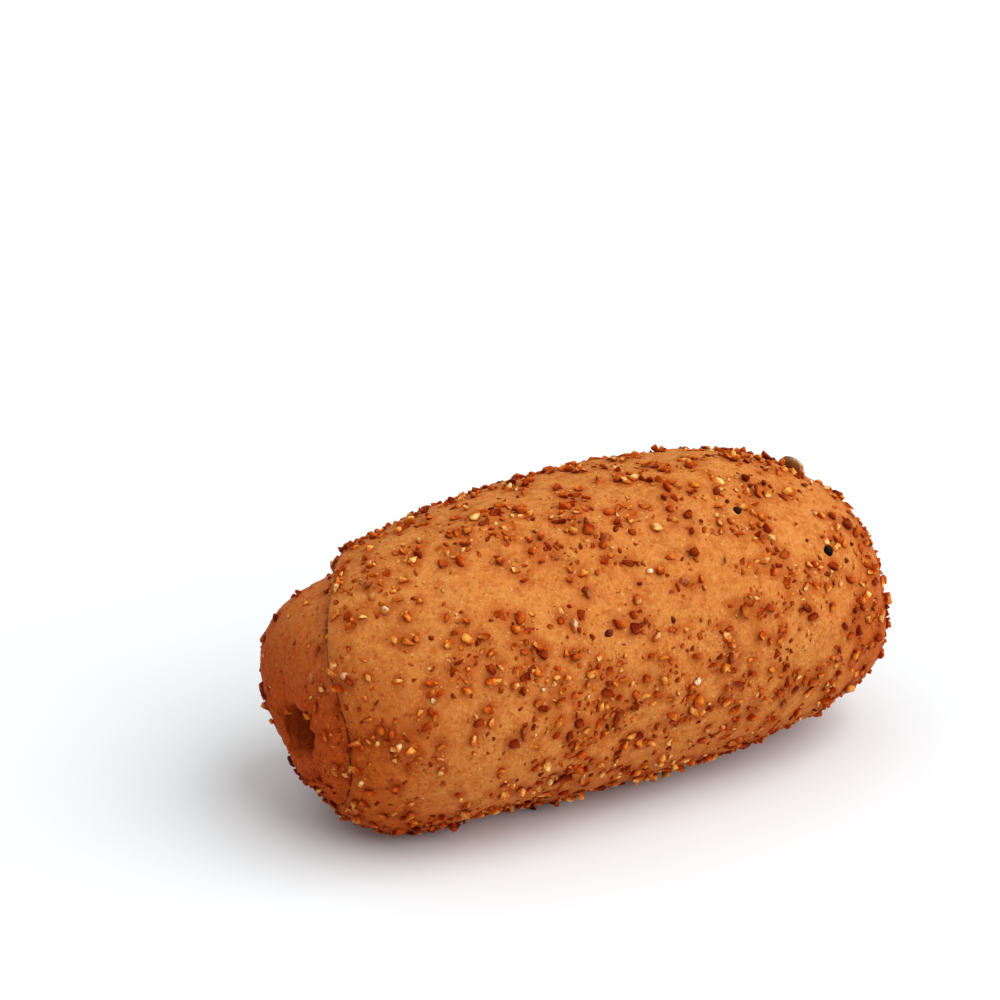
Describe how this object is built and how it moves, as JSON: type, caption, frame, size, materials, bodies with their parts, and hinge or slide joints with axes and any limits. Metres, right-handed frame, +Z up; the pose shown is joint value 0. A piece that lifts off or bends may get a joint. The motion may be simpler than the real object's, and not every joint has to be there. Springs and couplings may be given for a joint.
{
  "type": "bread roll",
  "caption": "Baked bread roll: a stubby rolled-up cylinder of dough with round coiled ends, each with a dimple, and a narrow flat underside.",
  "frame": {"origin": "centre of the footprint on the surface that the roll rests on, at the bottom of its box", "axes": "+X along the roll, towards the end that is further away in the picture; +Y across it, towards its back; +Z up"},
  "size_m": [0.1374, 0.068, 0.065],
  "materials": {
    "crust": "matte golden-brown baked crust, set with cracked grains of wheat",
    "cracked_wheat": "satin toasted cracked wheat in amber, russet and straw tints"
  },
  "bodies": {
    "root": {"bread_roll": "crust"}
  },
  "joints": []
}
